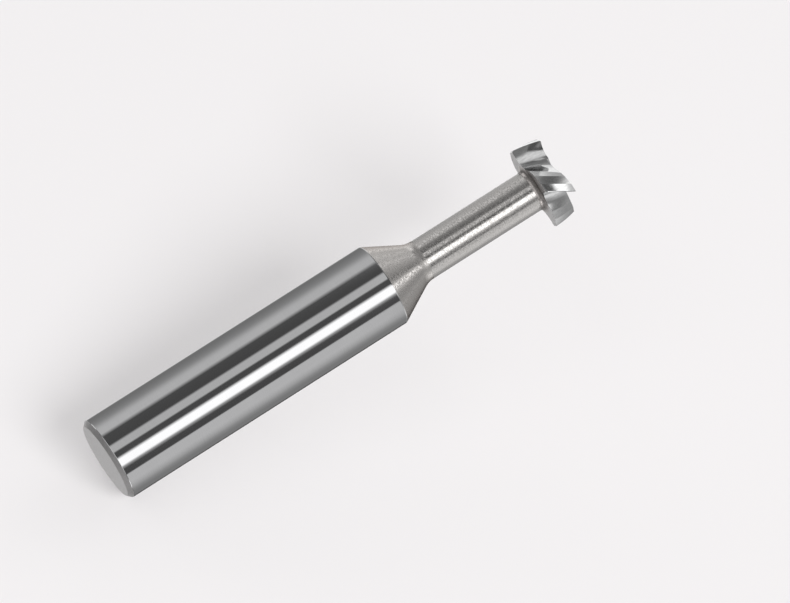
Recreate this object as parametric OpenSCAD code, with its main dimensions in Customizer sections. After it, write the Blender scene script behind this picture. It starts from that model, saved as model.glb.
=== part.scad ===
// T slot cutter, turned and ground from one solid rod. Millimetres, Z along the axis, shank end at z = 0.

/* [Overall] */
// Overall length from the shank end to the cutting end
overall_len = 60.7; // [45:0.1:120]
// Smoothness of the turned surfaces
smooth = 96; // [48:8:128]

/* [Shank] */
// Diameter of the ground shank
shank_d = 10; // [7:0.5:16]
// Width of the chamfer round the shank end
end_chamfer = 0.5; // [0.2:0.1:1.2]

/* [Neck] */
// Half angle of the cone between shank and neck
cone_angle = 28.6; // [20:0.2:45]
// Diameter of the reduced neck
neck_d = 4.9; // [4.2:0.1:5.6]
// Length of the neck between the cone and the back of the head
neck_len = 15.8; // [8:0.1:25]
// Radius where the cone runs out into the neck
cone_fillet = 2.5; // [0.5:0.1:4]
// Radius where the neck meets the back of the head
head_fillet = 0.6; // [0.2:0.05:0.6]

/* [Head] */
// Diameter over the teeth
head_d = 10; // [8.4:0.2:14]
// Width of the head along the axis, which is the width of slot it cuts
head_w = 3.1; // [2:0.1:6]
// Small chamfer on the outer corners of the teeth, at the cutting end
corner_chamfer = 0.08; // [0.04:0.01:0.3]
// Chamfer on the outer corners at the back of the head
back_chamfer = 0.2; // [0.04:0.01:0.3]
// Number of teeth
tooth_count = 4; // [3:1:5]
// Helix angle of the cutting edges at the head diameter
helix_angle = 32; // [15:1:40]

/* [Teeth] */
// Rake of the tooth face behind the radial line, at the cutting end
rake_angle = 16; // [6:0.5:18]
// Rake at the back of the head, which a straight ground gash leaves smaller
rake_back = -5; // [-7:0.5:3]
// Width of the land behind the cutting edge
land_w = 1.05; // [0.6:0.05:1.3]
// Fall of the land behind the cutting edge
land_relief = 13; // [6:1:16]
// Fall of the second clearance behind the land, at the cutting end
second_relief = 57; // [50:1:62]
// Fall of the second clearance at the back of the head
second_relief_back = 44; // [35:1:50]
// Thickness of a tooth where its second clearance ends, at the cutting end
second_thick = 1.65; // [1.5:0.05:1.7]
// Thickness where the second clearance ends, at the back of the head
second_thick_back = 2; // [1.8:0.05:2.2]
// Fall of the third clearance, at the cutting end
third_relief = 80; // [72:1:82]
// Fall of the third clearance at the back of the head
third_relief_back = 62; // [54:1:70]
// Thickness of a tooth at its heel, at the cutting end
tooth_thick = 1.77; // [1.75:0.01:1.9]
// Thickness of a tooth at its heel, at the back of the head, where the flutes are shallower
tooth_thick_back = 2.6; // [2.4:0.05:2.8]
// Widening of the tooth from its heel towards the root
back_taper = 2; // [0:0.5:4]
// Radius at the root of the flutes
root_radius = 1.9; // [1.2:0.05:2]
// Radius that softens the heel
heel_radius = 0.4; // [0.2:0.1:0.8]
// Depth of the fine round margin along each cutting edge
margin = 0.02; // [0.01:0.005:0.04]
// Fall of each end face behind its end cutting edge
end_relief = 4.5; // [2:0.5:9]
// Fall of each end cutting edge towards the centre
dish_angle = 1; // [0:0.5:3]

/* [Hidden] */
shank_r = shank_d / 2;
neck_r = neck_d / 2;
head_r = head_d / 2;
cone_len = (shank_r - neck_r) / tan(cone_angle);
head_back = overall_len - head_w;
cone_end = head_back - neck_len;
shank_len = cone_end - cone_len;
fillet_run = cone_fillet * tan(cone_angle / 2);
pitch_angle = 360 / tooth_count;
twist_rate = tan(helix_angle) * 180 / (PI * head_r);
// The toothed bar runs a little past both faces of the head, which trim it
lead = 0.2;
toothed_len = head_w + 2 * lead;
slice_count = 12;
root_steps = 7;
heel_steps = 3;
bar_r = head_r + margin;
land_end = [bar_r - land_w * sin(land_relief), -land_w * cos(land_relief)];

// Which piece to draw

// One point turned round the axis
function turned(p, a) = [p[0] * cos(a) - p[1] * sin(a), p[0] * sin(a) + p[1] * cos(a)];

// A value part of the way from one end of the head to the other
function blend(at_back, at_front, f) = at_back + (at_front - at_back) * f;

// Points along an arc, both ends included
function arc_points(centre, radius, start, sweep, steps) =
    [for (i = [0 : steps]) centre + radius * [cos(start + sweep * i / steps), sin(start + sweep * i / steps)]];

// Values at the fraction f of the head's width, from its back to the cutting end
function rake(f) = blend(rake_back, rake_angle, f);
function fall(f) = blend(second_relief_back, second_relief, f);
function step(f) = blend(second_thick_back, second_thick, f);
function steep(f) = blend(third_relief_back, third_relief, f);
function thick(f) = blend(tooth_thick_back, tooth_thick, f);

// Cutting edge of the tooth behind, and the normal of its face, which points into the flute
face_tip = turned([bar_r, 0], -pitch_angle);
function face_n(f) = turned([-sin(rake(f)), cos(rake(f))], -pitch_angle);
// Normal of a tooth's back, which points into the flute
back_n = [sin(back_taper), -cos(back_taper)];

// Edge between the second clearance and the third
function ridge(f) = [land_end[0] - (step(f) + land_end[1]) * tan(fall(f)), -step(f)];

// Corner where the third clearance would meet the back
function heel(f) = [ridge(f)[0] - (thick(f) - step(f)) * tan(steep(f)), -thick(f)];

// Heel rounded between the third clearance and the back
function heel_points(f) =
    let (turn = 90 - back_taper - steep(f))
    let (middle = -steep(f) - turn / 2)
    let (centre = heel(f) - heel_radius / cos(turn / 2) * [cos(middle), sin(middle)])
    arc_points(centre, heel_radius, -steep(f), -turn, heel_steps);

// Root curve, which is tangent to the back and to the face of the tooth behind
function root_points(f) =
    let (n = face_n(f))
    let (face_off = n * face_tip + root_radius)
    let (back_off = back_n * heel(f) + root_radius)
    let (det = back_n[0] * n[1] - back_n[1] * n[0])
    let (x = (back_off * n[1] - back_n[1] * face_off) / det)
    let (y = (back_n[0] * face_off - back_off * n[0]) / det)
    let (start = 90 + back_taper)
    let (stop = atan2(-n[1], -n[0]))
    arc_points([x, y], root_radius, start, (stop < start ? stop + 360 : stop) - start, root_steps);

// Outline of one tooth and the root behind it, in the order that runs against the rotation
function tooth_points(f) = concat([[bar_r, 0], land_end, ridge(f)], heel_points(f), root_points(f));

// Outline of the toothed bar at one of its slices
function ring_points(slice) =
    let (z = head_back - lead + toothed_len * slice / slice_count)
    let (f = (z - head_back) / head_w)
    let (turn = twist_rate * (z - head_back))
    [for (k = [0 : tooth_count - 1]) for (p = tooth_points(f)) concat(turned(p, turn - k * pitch_angle), [z])];

// Half section of shank, cone and neck
module body_section() {
    polygon([
        [0, 0],
        [shank_r - end_chamfer, 0],
        [shank_r, end_chamfer],
        [shank_r, shank_len],
        [neck_r, cone_end],
        [neck_r, head_back],
        [0, head_back]
    ]);
    // Run-out of the cone into the neck
    difference() {
        polygon([
            [neck_r - 0.05, cone_end - 0.05],
            [neck_r - 0.05, cone_end + fillet_run],
            [neck_r + cone_fillet, cone_end + fillet_run],
            [neck_r + fillet_run * sin(cone_angle), cone_end - fillet_run * cos(cone_angle)]
        ]);
        translate([neck_r + cone_fillet, cone_end + fillet_run]) circle(r = cone_fillet, $fn = smooth);
    }
}

// Half section of the head's outside before its teeth are cut
module head_section() {
    polygon([
        [0, head_back],
        [head_r - back_chamfer, head_back],
        [head_r, head_back + back_chamfer],
        [head_r, overall_len - corner_chamfer],
        [head_r - corner_chamfer, overall_len],
        [0, overall_len]
    ]);
}

// Half section of the radius between the neck and the back of the head
module head_fillet_section() {
    difference() {
        translate([neck_r - 0.3, head_back - head_fillet]) square([head_fillet + 0.3, head_fillet + 0.1]);
        translate([neck_r + head_fillet, head_back - head_fillet]) circle(r = head_fillet, $fn = smooth);
        translate([neck_r + 0.1, head_back]) square([head_fillet, 1]);
    }
}

// Solid that carries the teeth along the helix, ring by ring
module toothed_bar() {
    count = len(ring_points(0));
    points = [for (slice = [0 : slice_count]) for (p = ring_points(slice)) p];
    sides = [for (slice = [0 : slice_count - 1]) for (j = [0 : count - 1])
        let (low = slice * count, high = low + count, next = (j + 1) % count)
        each [[low + j, low + next, high + next], [low + j, high + next, high + j]]];
    bottom = [[for (j = [count - 1 : -1 : 0]) j]];
    top = [[for (j = [0 : count - 1]) slice_count * count + j]];
    polyhedron(points = points, faces = concat(sides, bottom, top), convexity = 6);
}

// Wedge that opens behind the X axis at the angle fall, used to give a face its clearance
module clearance_wedge(fall) {
    reach = head_r + 1;
    rotate([90, 0, 90])
        linear_extrude(height = 2 * reach)
            polygon([[0, 0], [-reach, -reach * tan(fall)], [-reach, 3], [0, 3]]);
}

// Sector between one end cutting edge and the next, over the width of the head
module tooth_sector() {
    reach = 3 * head_r;
    translate([0, 0, head_back - head_w])
        linear_extrude(height = 3 * head_w)
            polygon([[0, 0], [reach, 0], turned([reach, 0], -pitch_angle / 2), turned([reach, 0], -pitch_angle)]);
}

// What is ground off the cutting end behind one end cutting edge
module end_face_trim() {
    intersection() {
        translate([head_r, 0, overall_len])
            rotate([0, -dish_angle, 0])
                translate([-head_r - 2, 0, 0])
                    clearance_wedge(end_relief);
        tooth_sector();
    }
}

module head() {
    front_twist = twist_rate * head_w;
    difference() {
        intersection() {
            rotate_extrude($fn = smooth) head_section();
            toothed_bar();
        }
        for (k = [0 : tooth_count - 1])
            rotate([0, 0, front_twist + k * pitch_angle]) end_face_trim();
    }
}

module cutter() {
    color([0.72, 0.72, 0.73])
        union() {
            rotate_extrude($fn = smooth) {
                body_section();
                head_fillet_section();
            }
            head();
        }
}

cutter();
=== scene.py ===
import math

import bpy
import bmesh
from mathutils import Matrix, Vector


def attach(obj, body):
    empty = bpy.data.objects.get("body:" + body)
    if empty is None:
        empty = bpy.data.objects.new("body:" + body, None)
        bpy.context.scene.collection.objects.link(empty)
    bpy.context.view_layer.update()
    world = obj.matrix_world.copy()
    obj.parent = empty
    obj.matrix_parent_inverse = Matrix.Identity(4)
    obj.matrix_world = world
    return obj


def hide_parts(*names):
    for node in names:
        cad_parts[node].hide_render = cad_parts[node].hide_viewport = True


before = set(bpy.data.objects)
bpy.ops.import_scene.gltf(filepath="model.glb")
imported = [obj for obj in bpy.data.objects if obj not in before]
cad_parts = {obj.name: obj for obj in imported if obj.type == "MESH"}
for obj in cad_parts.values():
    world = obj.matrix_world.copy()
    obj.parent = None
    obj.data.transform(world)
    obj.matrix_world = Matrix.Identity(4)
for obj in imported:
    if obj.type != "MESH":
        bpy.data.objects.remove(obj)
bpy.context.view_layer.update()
mm = 0.001
weldReach = 0.002 * mm  # points closer than this become one
print("frame loaded, nodes:", sorted(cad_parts))


# small helpers

def deselectAll():
    if bpy.context.mode != "OBJECT":
        bpy.ops.object.mode_set(mode="OBJECT")
    bpy.ops.object.select_all(action="DESELECT")


def makeActive(piece):
    deselectAll()
    piece.select_set(True)
    bpy.context.view_layer.objects.active = piece


def turned(point, degrees):
    a = math.radians(degrees)
    x = point[0] * math.cos(a) - point[1] * math.sin(a)
    y = point[0] * math.sin(a) + point[1] * math.cos(a)
    return Vector((x, y))


def arcPoints(centre, radius, start, sweep, steps):
    points = []
    for i in range(steps + 1):
        a = math.radians(start + sweep * i / steps)
        points.append(Vector((centre[0] + radius * math.cos(a), centre[1] + radius * math.sin(a))))
    return points


# turned body: shank, cone and neck, spun from one half section in millimetres

body = {
    "shankRadius": 5.0, "endChamfer": 0.5, "shankLength": 37.12,
    "neckRadius": 2.45, "coneEnd": 41.8, "coneAngle": 28.6, "coneFillet": 2.5,
    "headBack": 57.6, "headFillet": 0.6,
    # how far a razor edge is taken back, how much of it goes, and where the rings that hold it lie
    "edgeSoft": 0.045, "edgeCut": 0.25, "edgeHold": 2.5, "arcHold": 0.08,
    # how far the neck runs into the head
    "tuckIn": 0.4, "tuckUp": 0.35,
    "shankRings": 12, "neckRings": 8, "runOutSteps": 14, "filletSteps": 16, "spinSteps": 192,
}


def softCorner(before, corner, after, s):
    # a corner with its razor edge taken off, held by a ring close by on either side
    back = (Vector(before) - Vector(corner)).normalized() * s["edgeSoft"]
    on = (Vector(after) - Vector(corner)).normalized() * s["edgeSoft"]
    steps = [back * s["edgeHold"], back, (back + on) * s["edgeCut"], on, on * s["edgeHold"]]
    return [Vector(corner) + step for step in steps]


def runOutLength(s):
    return s["coneFillet"] * math.tan(math.radians(s["coneAngle"] / 2))


def evenRings(radius, low, high, count):
    # rings between two heights, both left out
    return [Vector((radius, low + (high - low) * k / count)) for k in range(1, count)]


def bodySection(s):
    tip = (0.0, 0.0)
    rim = (s["shankRadius"] - s["endChamfer"], 0.0)
    wall = (s["shankRadius"], s["endChamfer"])
    shoulder = (s["shankRadius"], s["shankLength"])
    waist = (s["neckRadius"], s["coneEnd"])
    coneCentre = (s["neckRadius"] + s["coneFillet"], s["coneEnd"] + runOutLength(s))
    headCentre = (s["neckRadius"] + s["headFillet"], s["headBack"] - s["headFillet"])
    points = [Vector(tip)]
    points += softCorner(tip, rim, wall, s)
    points += softCorner(rim, wall, shoulder, s)
    points += evenRings(s["shankRadius"], s["endChamfer"], s["shankLength"], s["shankRings"])
    points += softCorner(wall, shoulder, waist, s)
    runOut = arcPoints(coneCentre, s["coneFillet"], 180 + s["coneAngle"], -s["coneAngle"], s["runOutSteps"])
    points.append(runOut[0] + (Vector(shoulder) - Vector(waist)).normalized() * s["arcHold"])
    points += runOut
    points.append(Vector((s["neckRadius"], coneCentre[1] + s["arcHold"])))
    points += evenRings(s["neckRadius"], coneCentre[1], headCentre[1], s["neckRings"])
    points.append(Vector((s["neckRadius"], headCentre[1] - s["arcHold"])))
    points += arcPoints(headCentre, s["headFillet"], 180, -90, s["filletSteps"])
    points.append(Vector((s["neckRadius"] - s["tuckIn"], s["headBack"] + s["tuckUp"])))
    points.append(Vector((0.0, s["headBack"] + s["tuckUp"])))
    return points


def spinSection(name, section, steps):
    # a vertex drawn along the half section and spun round the axis
    deselectAll()
    bpy.ops.mesh.primitive_plane_add(size=mm, location=(0, 0, 0))
    piece = bpy.context.object
    piece.name = name
    bpy.ops.object.mode_set(mode="EDIT")
    bpy.ops.mesh.merge(type="CENTER")
    bpy.ops.transform.translate(value=(section[0][0] * mm, 0, section[0][1] * mm))
    for a, b in zip(section, section[1:]):
        step = ((b[0] - a[0]) * mm, 0, (b[1] - a[1]) * mm)
        bpy.ops.mesh.extrude_region_move(TRANSFORM_OT_translate={"value": step})
    bpy.ops.mesh.select_all(action="SELECT")
    bpy.ops.mesh.spin(steps=steps, angle=2 * math.pi, center=(0, 0, 0), axis=(0, 0, 1))
    bpy.ops.mesh.select_all(action="SELECT")
    bpy.ops.mesh.remove_doubles(threshold=weldReach)
    bpy.ops.mesh.normals_make_consistent(inside=False)
    bpy.ops.object.mode_set(mode="OBJECT")
    return piece


def carve(piece, tool, operation):
    makeActive(piece)
    cut = piece.modifiers.new("carve", "BOOLEAN")
    cut.operation = operation
    cut.solver = "EXACT"
    cut.object = tool
    bpy.ops.object.modifier_apply(modifier=cut.name)
    bpy.data.objects.remove(tool)


# toothed head: one outline drawn out ring by ring along the helix, then its faces ground flat

head = {
    "back": body["headBack"], "length": 60.7, "radius": 5.0, "margin": 0.02, "teeth": 4, "helix": 32.0,
    "backChamfer": 0.2, "frontChamfer": 0.08,
    # values at the back of the head and at the cutting end; angles in degrees
    "rakeBack": -5.0, "rakeFront": 16.0, "landWidth": 1.05, "landRelief": 13.0,
    "fallBack": 44.0, "fallFront": 57.0, "stepBack": 2.0, "stepFront": 1.65,
    "steepBack": 62.0, "steepFront": 80.0, "thickBack": 2.6, "thickFront": 1.77, "backTaper": 2.0,
    "rootRadius": 1.9, "heelRadius": 0.4, "endRelief": 4.5, "dish": 1.0,
    "rings": 20, "lead": 0.2, "rootSteps": 18, "heelSteps": 6, "flatSteps": 4,
    # what is skimmed off the cutting end, and the drum that grinds it, with its lead-in and lean in degrees
    # and its points for each tooth
    "skim": 0.004, "drumReach": 9.0, "drumHeight": 3.0, "drumLead": 3.0, "drumLean": 0.5, "drumPoints": 3,
    # a face whose normal points further down than this is the matt back of the head
    "backFacing": -0.9,
}


def share(a, b, f):
    return a + (b - a) * f


def along(points, steps):
    # extra points on the straight runs, so that the long faces stay even
    full = []
    for a, b in zip(points, points[1:]):
        full += [a + (b - a) * i / steps for i in range(steps)]
    return full + [points[-1]]


def roundedHeel(s, corner, steep):
    turn = 90 - s["backTaper"] - steep
    middle = math.radians(-steep - turn / 2)
    reach = s["heelRadius"] / math.cos(math.radians(turn / 2))
    centre = corner - reach * Vector((math.cos(middle), math.sin(middle)))
    return arcPoints(centre, s["heelRadius"], -steep, -turn, s["heelSteps"])


def rootCurve(s, corner, rake, edge):
    # an arc that touches the back of one tooth and the face of the tooth behind
    pitch = 360 / s["teeth"]
    taper = math.radians(s["backTaper"])
    faceNormal = turned((-math.sin(rake), math.cos(rake)), -pitch)
    backNormal = Vector((math.sin(taper), -math.cos(taper)))
    faceOff = faceNormal.dot(turned(edge, -pitch)) + s["rootRadius"]
    backOff = backNormal.dot(corner) + s["rootRadius"]
    det = backNormal[0] * faceNormal[1] - backNormal[1] * faceNormal[0]
    x = (backOff * faceNormal[1] - backNormal[1] * faceOff) / det
    y = (backNormal[0] * faceOff - backOff * faceNormal[0]) / det
    start = 90 + s["backTaper"]
    stop = math.degrees(math.atan2(-faceNormal[1], -faceNormal[0]))
    if stop < start:
        stop += 360
    return arcPoints((x, y), s["rootRadius"], start, stop - start, s["rootSteps"])


def toothOutline(s, f):
    # one tooth and the root behind it, at the fraction f of the head's width
    proud = s["radius"] + s["margin"]
    relief = math.radians(s["landRelief"])
    rake = math.radians(share(s["rakeBack"], s["rakeFront"], f))
    fall = math.radians(share(s["fallBack"], s["fallFront"], f))
    step = share(s["stepBack"], s["stepFront"], f)
    steep = share(s["steepBack"], s["steepFront"], f)
    thick = share(s["thickBack"], s["thickFront"], f)
    edge = Vector((proud, 0))
    landEnd = Vector((proud - s["landWidth"] * math.sin(relief), -s["landWidth"] * math.cos(relief)))
    ridge = Vector((landEnd[0] - (step + landEnd[1]) * math.tan(fall), -step))
    corner = Vector((ridge[0] - (thick - step) * math.tan(math.radians(steep)), -thick))
    heel = roundedHeel(s, corner, steep)
    root = rootCurve(s, corner, rake, edge)
    nextEdge = turned(edge, -360 / s["teeth"])
    points = along([edge, landEnd, ridge, heel[0]], s["flatSteps"])[:-1]
    points += heel
    points += along([heel[-1], root[0]], s["flatSteps"])[1:-1]
    points += root
    points += along([root[-1], nextEdge], s["flatSteps"])[1:-1]
    return points


def twistRate(s):
    return math.tan(math.radians(s["helix"])) * 180 / (math.pi * s["radius"])


def ringOutline(s, z):
    f = (z - s["back"]) / (s["length"] - s["back"])
    points = []
    for k in range(s["teeth"]):
        for p in toothOutline(s, f):
            q = turned(p, twistRate(s) * (z - s["back"]) - k * 360 / s["teeth"])
            points.append(Vector((q[0], q[1], z)) * mm)
    return points


def placeRing(piece, points):
    # the selected ring, in its own order, goes to its outline
    mesh = bmesh.from_edit_mesh(piece.data)
    ring = sorted([v for v in mesh.verts if v.select], key=lambda v: v.index)
    for v, p in zip(ring, points):
        v.co = p
    bmesh.update_edit_mesh(piece.data)


def makeHead(s):
    deselectAll()
    top = s["length"] + s["lead"]
    bottom = s["back"] - s["lead"]
    rise = (top - bottom) / s["rings"]
    firstRing = ringOutline(s, bottom)
    bpy.ops.mesh.primitive_circle_add(vertices=len(firstRing), radius=s["radius"] * mm, location=(0, 0, 0))
    piece = bpy.context.object
    piece.name = "cutterHead"
    bpy.ops.object.mode_set(mode="EDIT")
    bpy.ops.mesh.select_all(action="SELECT")
    placeRing(piece, firstRing)
    for ring in range(1, s["rings"] + 1):
        bpy.ops.mesh.extrude_region_move(TRANSFORM_OT_translate={"value": (0, 0, rise * mm)})
        placeRing(piece, ringOutline(s, bottom + rise * ring))
    bpy.ops.mesh.edge_face_add()  # closes the cutting end
    bpy.ops.mesh.select_all(action="DESELECT")
    bpy.ops.mesh.select_non_manifold()
    bpy.ops.mesh.edge_face_add()  # closes the back
    bpy.ops.mesh.select_all(action="SELECT")
    bpy.ops.mesh.normals_make_consistent(inside=False)
    bpy.ops.object.mode_set(mode="OBJECT")
    return piece


def headBlank(s):
    # the disc the head is ground from, with its two chamfers
    top = s["length"] - s["skim"]
    section = [
        (0, s["back"]), (s["radius"] - s["backChamfer"], s["back"]),
        (s["radius"], s["back"] + s["backChamfer"]), (s["radius"], top - s["frontChamfer"]),
        (s["radius"] - s["frontChamfer"], top), (0, top),
    ]
    return spinSection("headBlank", [Vector(p) for p in section], body["spinSteps"])


def endGrinder(s):
    # a drum whose underside is reshaped to the faces ground behind the end cutting edges, with a step at each
    pitch = 360 / s["teeth"]
    start = twistRate(s) * (s["length"] - s["back"])
    fall = math.tan(math.radians(s["endRelief"]))
    dish = math.tan(math.radians(s["dish"]))
    lid = s["length"] + s["drumHeight"]
    count = s["drumPoints"] * s["teeth"]
    deselectAll()
    bpy.ops.mesh.primitive_cylinder_add(vertices=count, radius=1, depth=2, end_fill_type="TRIFAN",
                                        location=(0, 0, 0))
    tool = bpy.context.object
    for v in tool.data.vertices:
        upper = v.co.z > 0
        if math.hypot(v.co.x, v.co.y) < 0.5:  # the middle of either end
            v.co = Vector((0, 0, lid if upper else s["length"] - s["radius"] * dish)) * mm
            continue
        place = round(-math.degrees(math.atan2(v.co.y, v.co.x)) * s["drumPoints"] / pitch) % count
        tooth, role = divmod(place, s["drumPoints"])
        p = turned((s["drumReach"], 0), s["drumLead"] - pitch * role / (s["drumPoints"] - 1))
        low = s["length"] + p[1] * fall - (s["radius"] - p[0]) * dish
        lean = (role - 1) * s["drumLean"] if upper else 0
        q = turned(p, start - pitch * tooth + lean)
        v.co = Vector((q[0], q[1], lid if upper else low)) * mm
    makeActive(tool)
    bpy.ops.object.mode_set(mode="EDIT")
    bpy.ops.mesh.select_all(action="SELECT")
    bpy.ops.mesh.normals_make_consistent(inside=False)
    bpy.ops.object.mode_set(mode="OBJECT")
    return tool


def grindHead(piece, s):
    carve(piece, headBlank(s), "INTERSECT")
    carve(piece, endGrinder(s), "DIFFERENCE")


turnedBody = spinSection("cutterBody", bodySection(body), body["spinSteps"])
print("body spun, faces:", len(turnedBody.data.polygons))
toothedHead = makeHead(head)
grindHead(toothedHead, head)
print("head drawn and ground, faces:", len(toothedHead.data.polygons))


# ground and polished finishes, one with painted shade in the fillet

def newMaterial(name):
    material = bpy.data.materials.new(name)
    material.use_nodes = True
    return material, material.node_tree, material.node_tree.nodes["Principled BSDF"]


def addNode(tree, kind, place, **values):
    node = tree.nodes.new(kind)
    node.location = place
    for key, value in values.items():
        setattr(node, key, value)
    return node


def mathNode(tree, place, operation, a, b=None):
    node = addNode(tree, "ShaderNodeMath", place, operation=operation)
    for socket, value in zip(node.inputs, (a, b)):
        if value is None:
            continue
        if isinstance(value, (int, float)):
            socket.default_value = value
        else:
            tree.links.new(value, socket)
    return node.outputs[0]


grindNoise = {"detail": 2.0, "roughness": 0.6}


def makeGrindGroup():
    # fine grinding marks, as close along, round and out from the axis as each finish says, and soft clouding
    group = bpy.data.node_groups.new("grindRings", "ShaderNodeTree")
    for name in ("Along", "Round", "Out", "Patch"):
        group.interface.new_socket(name=name, in_out="INPUT", socket_type="NodeSocketFloat")
    for name in ("Scratch", "Cloud"):
        group.interface.new_socket(name=name, in_out="OUTPUT", socket_type="NodeSocketFloat")
    start = addNode(group, "NodeGroupInput", (-900, 0))
    end = addNode(group, "NodeGroupOutput", (700, 0))
    place = addNode(group, "ShaderNodeTexCoord", (-900, 300))
    split = addNode(group, "ShaderNodeSeparateXYZ", (-700, 300))
    group.links.new(place.outputs["Object"], split.inputs[0])
    angle = mathNode(group, (-500, 400), "ARCTAN2", split.outputs["Y"], split.outputs["X"])
    acrossX = mathNode(group, (-700, 600), "POWER", split.outputs["X"], 2.0)
    acrossY = mathNode(group, (-700, 800), "POWER", split.outputs["Y"], 2.0)
    radius = mathNode(group, (-500, 700), "SQRT", mathNode(group, (-600, 700), "ADD", acrossX, acrossY))
    height = mathNode(group, (-300, 200), "MULTIPLY", split.outputs["Z"], start.outputs["Along"])
    around = mathNode(group, (-300, 400), "MULTIPLY", angle, start.outputs["Round"])
    outward = mathNode(group, (-300, 600), "MULTIPLY", radius, start.outputs["Out"])
    join = addNode(group, "ShaderNodeCombineXYZ", (-100, 300))
    group.links.new(around, join.inputs["X"])
    group.links.new(outward, join.inputs["Y"])
    group.links.new(height, join.inputs["Z"])
    fine = addNode(group, "ShaderNodeTexNoise", (100, 300))
    fine.inputs["Scale"].default_value = 1.0
    fine.inputs["Detail"].default_value = grindNoise["detail"]
    fine.inputs["Roughness"].default_value = grindNoise["roughness"]
    group.links.new(join.outputs[0], fine.inputs["Vector"])
    cloud = addNode(group, "ShaderNodeTexNoise", (100, 0))
    cloud.inputs["Detail"].default_value = grindNoise["detail"]
    group.links.new(place.outputs["Object"], cloud.inputs["Vector"])
    group.links.new(start.outputs["Patch"], cloud.inputs["Scale"])
    group.links.new(fine.outputs["Fac"], end.inputs["Scratch"])
    group.links.new(cloud.outputs["Fac"], end.inputs["Cloud"])
    return group


grindGroup = makeGrindGroup()

# colours of the high and low grain, roughness of each, tint at a grazing look, how wide the grain spreads,
# how cloudy it is, how close its marks lie along, round and out from the axis, how fine the clouds are,
# and how strong the marks are and how deep in metres
finishes = {
    "polishedShank": {
        "base": (0.50, 0.50, 0.505), "dark": (0.47, 0.47, 0.475), "rough": (0.045, 0.075), "edge": (1, 1, 1),
        "spread": 0.20, "cloud": 0.35, "along": 14000.0, "round": 2.0, "out": 0.0, "patch": 500.0,
        "bump": 0.015, "bumpDepth": 0.000002},
    "groundCone": {
        "base": (0.62, 0.597, 0.58), "dark": (0.50, 0.482, 0.466), "rough": (0.17, 0.40),
        "edge": (0.30, 0.28, 0.27),
        "spread": 0.11, "cloud": 0.12, "along": 6500.0, "round": 12.0, "out": 0.0, "patch": 1500.0,
        "bump": 0.35, "bumpDepth": 0.000012},
    "groundNeck": {
        "base": (0.69, 0.668, 0.652), "dark": (0.51, 0.494, 0.48), "rough": (0.085, 0.29), "edge": (1, 1, 1),
        "spread": 0.105, "cloud": 0.12, "along": 6500.0, "round": 8.0, "out": 0.0, "patch": 1500.0,
        "bump": 0.29, "bumpDepth": 0.000010},
    # the hollow fillet between neck and head: a rougher grind, with its colour darkened as painted shade for
    # the head's shaded back reflected there
    "groundFilletPaintedShade": {
        "base": (0.46, 0.43, 0.415), "dark": (0.32, 0.30, 0.29), "rough": (0.26, 0.42), "edge": (1, 1, 1),
        "spread": 0.12, "cloud": 0.20, "along": 6000.0, "round": 13.0, "out": 0.0, "patch": 1500.0,
        "bump": 0.30, "bumpDepth": 0.000010},
    "groundTooth": {
        "base": (0.57, 0.57, 0.57), "dark": (0.48, 0.48, 0.48), "rough": (0.12, 0.19), "edge": (1, 1, 1),
        "spread": 0.18, "cloud": 0.15, "along": 250.0, "round": 22.0, "out": 7000.0, "patch": 900.0,
        "bump": 0.28, "bumpDepth": 0.000002},
    "mattFace": {
        "base": (0.62, 0.605, 0.605), "dark": (0.50, 0.49, 0.49), "rough": (0.38, 0.52), "edge": (1, 1, 1),
        "spread": 0.20, "cloud": 0.35, "along": 9000.0, "round": 40.0, "out": 9000.0, "patch": 2500.0,
        "bump": 0.12, "bumpDepth": 0.000006},
}


def makeFinish(name, s):
    material, tree, shader = newMaterial(name)
    rings = addNode(tree, "ShaderNodeGroup", (-900, 0))
    rings.node_tree = grindGroup
    for mark in ("Along", "Round", "Out", "Patch"):
        rings.inputs[mark].default_value = s[mark.lower()]
    low, high = 0.5 - s["spread"], 0.5 + s["spread"]
    marks = mathNode(tree, (-700, 100), "MULTIPLY", rings.outputs["Scratch"], 1 - s["cloud"])
    patches = mathNode(tree, (-700, -100), "MULTIPLY", rings.outputs["Cloud"], s["cloud"])
    grain = mathNode(tree, (-500, 0), "ADD", marks, patches)
    tone = addNode(tree, "ShaderNodeValToRGB", (-300, 200))
    tone.color_ramp.elements[0].position = low
    tone.color_ramp.elements[0].color = (*s["dark"], 1)
    tone.color_ramp.elements[1].position = high
    tone.color_ramp.elements[1].color = (*s["base"], 1)
    tree.links.new(grain, tone.inputs["Fac"])
    gloss = addNode(tree, "ShaderNodeMapRange", (-300, -100))
    gloss.inputs["From Min"].default_value = low
    gloss.inputs["From Max"].default_value = high
    gloss.inputs["To Min"].default_value = s["rough"][1]
    gloss.inputs["To Max"].default_value = s["rough"][0]
    tree.links.new(grain, gloss.inputs["Value"])
    bump = addNode(tree, "ShaderNodeBump", (-300, -350))
    bump.inputs["Strength"].default_value = s["bump"]
    bump.inputs["Distance"].default_value = s["bumpDepth"]
    tree.links.new(rings.outputs["Scratch"], bump.inputs["Height"])
    tree.links.new(tone.outputs["Color"], shader.inputs["Base Color"])
    tree.links.new(gloss.outputs["Result"], shader.inputs["Roughness"])
    tree.links.new(bump.outputs["Normal"], shader.inputs["Normal"])
    shader.inputs["Metallic"].default_value = 1.0
    shader.inputs["Specular Tint"].default_value = (*s["edge"], 1)
    return material


finishOrder = list(finishes)
materials = [makeFinish(name, finishes[name]) for name in finishOrder]


def dress(piece, choose):
    piece.data.materials.clear()
    for material in materials:
        piece.data.materials.append(material)
    for face in piece.data.polygons:
        face.material_index = finishOrder.index(choose(face))


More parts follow.
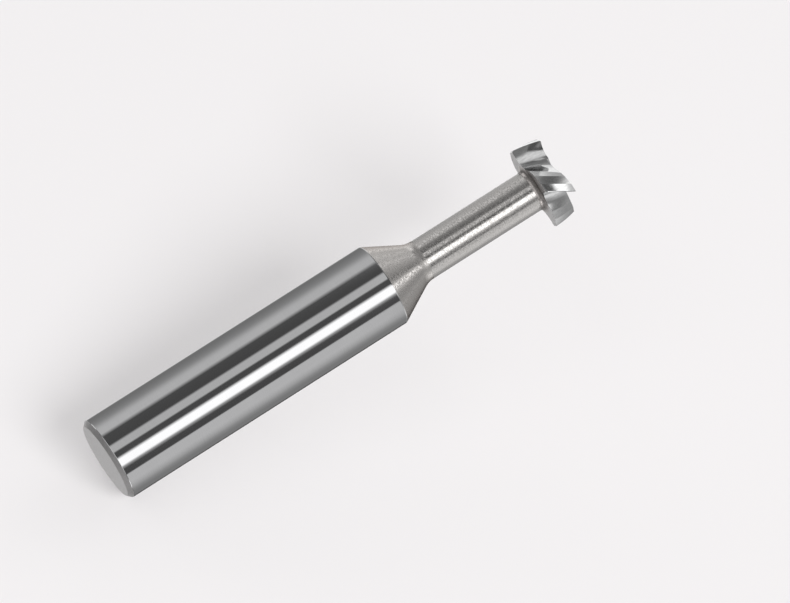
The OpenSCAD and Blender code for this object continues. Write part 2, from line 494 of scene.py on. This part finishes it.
def bodyFinish(face):
    z = face.center.z / mm
    if z < body["endChamfer"]:
        return "mattFace"
    # the fillet where the neck meets the head takes the painted shade finish
    if z > body["headBack"] - body["headFillet"]:
        return "groundFilletPaintedShade"
    if z < body["shankLength"]:
        return "polishedShank"
    return "groundCone" if z < body["coneEnd"] + runOutLength(body) else "groundNeck"


def headFinish(face):
    return "mattFace" if face.normal.z < head["backFacing"] else "groundTooth"


dress(turnedBody, bodyFinish)
dress(toothedHead, headFinish)
deselectAll()
toothedHead.select_set(True)
turnedBody.select_set(True)
bpy.context.view_layer.objects.active = turnedBody
bpy.ops.object.join()
cutter = bpy.context.object
cutter.name = "groundCutter"
creaseAngle = 8.5
bpy.ops.object.shade_smooth_by_angle(angle=math.radians(creaseAngle))
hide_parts("cutter")
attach(cutter, "root")
print("cutter joined, triangles about:", sum(len(p.vertices) - 2 for p in cutter.data.polygons))


# stage: a pale floor under the shank end, and the pale table of the photograph behind it

stage = {
    "tableNormal": (0.695, -0.665, 0.256), "size": 4.0, "cells": 8, "gap": 0.00004, "roughness": 0.9,
    "paleColour": (0.48, 0.470, 0.473), "liftColour": (0.80, 0.782, 0.788), "lift": 0.445, "floorLift": 0.60,
}


def stageMaterial(name, s, lift):
    # pale and one-sided: only the eye sees it, and only from its front
    material, tree, shader = newMaterial(name)
    shader.inputs["Base Color"].default_value = (*s["paleColour"], 1)
    shader.inputs["Roughness"].default_value = s["roughness"]
    shader.inputs["Specular IOR Level"].default_value = 0.0
    shader.inputs["Emission Color"].default_value = (*s["liftColour"], 1)
    shader.inputs["Emission Strength"].default_value = lift
    clear = addNode(tree, "ShaderNodeBsdfTransparent", (0, -300))
    side = addNode(tree, "ShaderNodeNewGeometry", (-600, -200))
    path = addNode(tree, "ShaderNodeLightPath", (-600, -500))
    front = mathNode(tree, (-400, -200), "SUBTRACT", 1.0, side.outputs["Backfacing"])
    seen = mathNode(tree, (-200, -300), "MULTIPLY", front, path.outputs["Is Camera Ray"])
    mix = addNode(tree, "ShaderNodeMixShader", (300, 0))
    tree.links.new(seen, mix.inputs["Fac"])
    tree.links.new(clear.outputs[0], mix.inputs[1])
    tree.links.new(shader.outputs[0], mix.inputs[2])
    tree.links.new(mix.outputs[0], tree.nodes["Material Output"].inputs["Surface"])
    return material


def makeStage(name, centre, normal, s, material):
    deselectAll()
    bpy.ops.mesh.primitive_grid_add(x_subdivisions=s["cells"], y_subdivisions=s["cells"], size=s["size"],
                                    location=(0, 0, 0))
    sheet = bpy.context.object
    sheet.name = name
    lean = Vector(normal).to_track_quat("Z", "Y").to_matrix().to_4x4()
    sheet.matrix_world = Matrix.Translation(Vector(centre)) @ lean
    makeActive(sheet)
    bpy.ops.object.transform_apply(location=True, rotation=True, scale=True)
    sheet.data.materials.append(material)


tableNormal = Vector(stage["tableNormal"]).normalized()
lowRim = Vector((-tableNormal.x, -tableNormal.y, 0)).normalized() * body["shankRadius"] * mm
paleFloor = stageMaterial("paleFloor", stage, stage["floorLift"])
paleTable = stageMaterial("paleTable", stage, stage["lift"])
makeStage("floor", (0, 0, -stage["gap"]), (0, 0, 1), stage, paleFloor)
makeStage("table", lowRim - tableNormal * stage["gap"], tableNormal, stage, paleTable)
print("stage set")


# light: a soft studio round the axis, with long soft boxes and dark gaps between them

studio = {
    "strength": 2.0, "backdrop": 0.87, "facing": 11.66,
    # each row of the studio, from under the cutter upwards: the heights between which it fades in, and its
    # boxes and dark gaps as degrees round the axis from the viewer's side, with how bright it is there
    "rows": [
        {"name": "under", "fade": (-1.0, -0.99), "bands": [
            (-180, 0.24), (-140, 0.15), (-100, 0.09), (-60, 0.15), (-20, 0.14), (60, 0.15), (90, 0.20),
            (130, 0.23), (180, 0.24)]},
        {"name": "low", "fade": (-0.53, -0.42), "bands": [
            (-180, 0.50), (-158, 0.44), (-150, 0.09), (-122, 0.08), (-115, 0.90), (-95, 0.90), (-89, 0.12),
            (-66, 0.10), (-55, 0.50), (0, 0.57), (40, 0.57), (54, 0.46), (60, 0.08), (76, 0.07), (82, 1.0),
            (104, 1.0), (111, 0.14), (142, 0.11), (160, 0.26), (180, 0.40)]},
        {"name": "rim", "fade": (-0.05, 0.08), "bands": [
            (-180, 0.40), (-100, 0.30), (-50, 0.25), (-10, 0.26), (5, 0.40), (40, 0.50), (60, 0.30),
            (90, 0.35), (140, 0.18), (180, 0.14)]},
        {"name": "level", "fade": (0.09, 0.135), "bands": [
            (-180, 0.40), (-166, 0.36), (-157, 0.12), (-144, 0.13), (-125, 0.165), (-112, 0.20),
            (-104, 0.245), (-96, 0.32), (-88, 0.395), (-80, 0.42), (-67, 0.42), (-57, 0.06), (-29, 0.053),
            (-24, 0.40), (-8, 0.40), (-5, 0.057), (8, 0.057), (15, 1.02), (32, 1.02), (36.5, 0.32),
            (43, 0.057), (59, 0.054), (61.5, 0.44), (87, 0.44), (95, 0.40), (105, 0.33), (116, 0.235),
            (130, 0.175), (150, 0.15), (158, 0.09), (167, 0.03), (180, 0.02)]},
        {"name": "waist", "fade": (0.195, 0.20), "bands": [
            (-180, 0.62), (-166, 0.54), (-156, 0.30), (-144, 0.235), (-120, 0.24), (-96, 0.325), (-84, 0.385),
            (-70, 0.38), (-60, 0.27), (-48, 0.13), (-38, 0.07), (-29, 0.06), (-23, 0.44), (-8, 0.47),
            (-4, 0.08), (9, 0.06), (15.5, 1.05), (33, 1.05), (38, 0.40), (46, 0.11), (61, 0.07), (66, 0.36),
            (86, 0.335), (98, 0.35), (108, 0.37), (120, 0.27), (134, 0.21), (150, 0.22), (180, 0.20)]},
        {"name": "middle", "fade": (0.219, 0.255), "bands": [
            (-180, 0.80), (-150, 0.78), (-125, 0.50), (-95, 0.25), (-88, 0.14), (-20, 0.13), (-6, 0.055),
            (11, 0.055), (15.5, 1.05), (31, 1.05), (35, 0.50), (44, 0.45), (55, 0.20), (75, 0.25), (88, 0.45),
            (100, 0.62), (118, 0.64), (135, 0.30), (155, 0.13), (180, 0.10)]},
        {"name": "upper", "fade": (0.45, 0.54), "bands": [
            (-180, 0.50), (-150, 0.68), (-135, 0.74), (-105, 0.66), (-82, 0.66), (-75, 0.24), (-45, 0.20),
            (0, 0.20), (30, 0.40), (60, 0.20), (80, 0.28), (95, 0.42), (110, 0.46), (122, 0.27), (150, 0.20),
            (180, 0.20)]},
        {"name": "crown", "fade": (0.595, 0.65), "bands": [
            (-180, 0.40), (-125, 0.31), (-118, 0.29), (-106, 0.50), (-86, 0.48), (-77, 0.075), (-62, 0.08),
            (-45, 0.20), (0, 0.20), (30, 0.40), (60, 0.20), (80, 0.28), (98, 0.36), (108, 0.22), (120, 0.24),
            (150, 0.15), (180, 0.20)]},
        {"name": "crest", "fade": (0.74, 0.785), "bands": [
            (-180, 0.40), (-130, 0.37), (-90, 0.33), (-76, 0.33), (-71, 0.80), (-57, 0.98), (-48, 0.40),
            (-30, 0.22), (0, 0.16), (18, 0.20), (30, 0.45), (42, 0.45), (52, 0.20), (70, 0.17), (88, 0.18),
            (98, 0.26), (110, 0.25), (120, 0.17), (150, 0.11), (180, 0.20)]},
        {"name": "high", "fade": (0.81, 0.87), "bands": [
            (-180, 0.40), (-130, 0.36), (-90, 0.33), (-55, 0.28), (-25, 0.21), (-5, 0.10), (18, 0.12),
            (25, 0.50), (33, 1.10), (44, 0.95), (50, 0.48), (57, 0.20), (78, 0.15), (98, 0.29), (110, 0.28),
            (120, 0.16), (150, 0.11), (180, 0.20)]},
    ],
}


def bandRamp(tree, place, row):
    ramp = addNode(tree, "ShaderNodeValToRGB", place, label=row["name"])
    stops = ramp.color_ramp.elements
    while len(stops) < len(row["bands"]):
        stops.new(0.5)
    for stop, (degrees, level) in zip(stops, row["bands"]):
        stop.position = (degrees + 180) / 360
        stop.color = (level, level, level, 1)
    return ramp


def fadeIn(tree, place, height, row, below, above):
    # one row of the studio over the rows below it
    fade = addNode(tree, "ShaderNodeMapRange", (place[0] - 350, place[1] - 150))
    fade.inputs["From Min"].default_value = row["fade"][0]
    fade.inputs["From Max"].default_value = row["fade"][1]
    tree.links.new(height, fade.inputs["Value"])
    over = addNode(tree, "ShaderNodeMix", place, data_type="RGBA")
    tree.links.new(fade.outputs["Result"], over.inputs[0])
    tree.links.new(below, over.inputs[6])  # the mix node's two colours
    tree.links.new(above, over.inputs[7])
    return over.outputs[2]


def makeStudio(s):
    world = bpy.data.worlds.new("softStudio")
    bpy.context.scene.world = world
    world.use_nodes = True
    tree = world.node_tree
    light = tree.nodes["Background"]
    place = addNode(tree, "ShaderNodeTexCoord", (-1400, 0))
    turn = addNode(tree, "ShaderNodeMapping", (-1200, 0))
    turn.inputs["Rotation"].default_value = (0, 0, math.radians(s["facing"]))
    tree.links.new(place.outputs["Generated"], turn.inputs["Vector"])
    split = addNode(tree, "ShaderNodeSeparateXYZ", (-1000, 0))
    tree.links.new(turn.outputs["Vector"], split.inputs[0])
    angle = mathNode(tree, (-800, 100), "ARCTAN2", split.outputs["Y"], split.outputs["X"])
    part = mathNode(tree, (-600, 100), "DIVIDE", angle, 2 * math.pi)
    around = mathNode(tree, (-500, 100), "ADD", part, 0.5)
    shown = None
    for i, row in enumerate(s["rows"]):
        ramp = bandRamp(tree, (-350, 300 * i), row)
        tree.links.new(around, ramp.inputs["Fac"])
        colour = ramp.outputs["Color"]
        shown = fadeIn(tree, (0, 300 * i), split.outputs["Z"], row, shown, colour) if shown else colour
    tree.links.new(shown, light.inputs["Color"])
    light.inputs["Strength"].default_value = s["strength"]
    pale = addNode(tree, "ShaderNodeBackground", (300, -200))
    pale.inputs["Color"].default_value = (s["backdrop"], s["backdrop"], s["backdrop"], 1)
    path = addNode(tree, "ShaderNodeLightPath", (300, -500))
    mix = addNode(tree, "ShaderNodeMixShader", (600, 0))
    tree.links.new(path.outputs["Is Camera Ray"], mix.inputs["Fac"])
    tree.links.new(light.outputs[0], mix.inputs[1])
    tree.links.new(pale.outputs[0], mix.inputs[2])
    tree.links.new(mix.outputs[0], tree.nodes["World Output"].inputs["Surface"])


softLamps = {
    # where each soft box hangs: degrees round from the viewer's side, degrees up, and metres from the cutter
    "sideBox": {"round": 20.0, "height": 12.0, "distance": 2.5, "size": 1.2, "power": 47.0},
    "topBox": {"round": -30.0, "height": 72.0, "distance": 2.5, "size": 1.5, "power": 6.0},
}


def makeLamp(name, s):
    # the lamps only fill in the floor and table; the bands of the studio are what the metal shows
    around = math.radians(s["round"] - studio["facing"])
    up = math.radians(s["height"])
    towards = Vector((math.cos(around) * math.cos(up), math.sin(around) * math.cos(up), math.sin(up)))
    data = bpy.data.lights.new(name, "AREA")
    data.shape = "DISK"
    data.size = s["size"]
    data.energy = s["power"]
    lamp = bpy.data.objects.new(name, data)
    bpy.context.scene.collection.objects.link(lamp)
    lamp.location = towards * s["distance"]
    lamp.rotation_euler = towards.to_track_quat("Z", "Y").to_euler()
    lamp.visible_glossy = False


makeStudio(studio)
for lampName, lampValues in softLamps.items():
    makeLamp(lampName, lampValues)
print("studio lit")


# camera at the photograph's viewing angle

lookFrom = {
    # the point looked at, in metres, and how far off the camera is
    "aim": (0.006138, 0.001073, 0.036192), "distance": 0.8,
    # degrees: round from the X axis, up from level, and the roll of the frame
    "round": -11.6573, "height": -11.1343, "roll": 57.5248,
    "lens": 328.1, "sensor": 36.0, "nearest": 0.01, "farthest": 20.0,
}


def turnAbout(axis, degrees):
    return Matrix.Rotation(math.radians(degrees), 4, axis)


def makeCamera(s):
    data = bpy.data.cameras.new("photoCamera")
    camera = bpy.data.objects.new("photoCamera", data)
    bpy.context.scene.collection.objects.link(camera)
    data.lens = s["lens"]
    data.sensor_width = s["sensor"]
    data.clip_start = s["nearest"]
    data.clip_end = s["farthest"]
    turn = turnAbout("Z", 90 + s["round"]) @ turnAbout("X", 90 - s["height"]) @ turnAbout("Z", s["roll"])
    camera.matrix_world = Matrix.Translation(s["aim"]) @ turn @ Matrix.Translation((0, 0, s["distance"]))
    bpy.context.scene.camera = camera


makeCamera(lookFrom)
bpy.context.scene.view_settings.view_transform = "Standard"
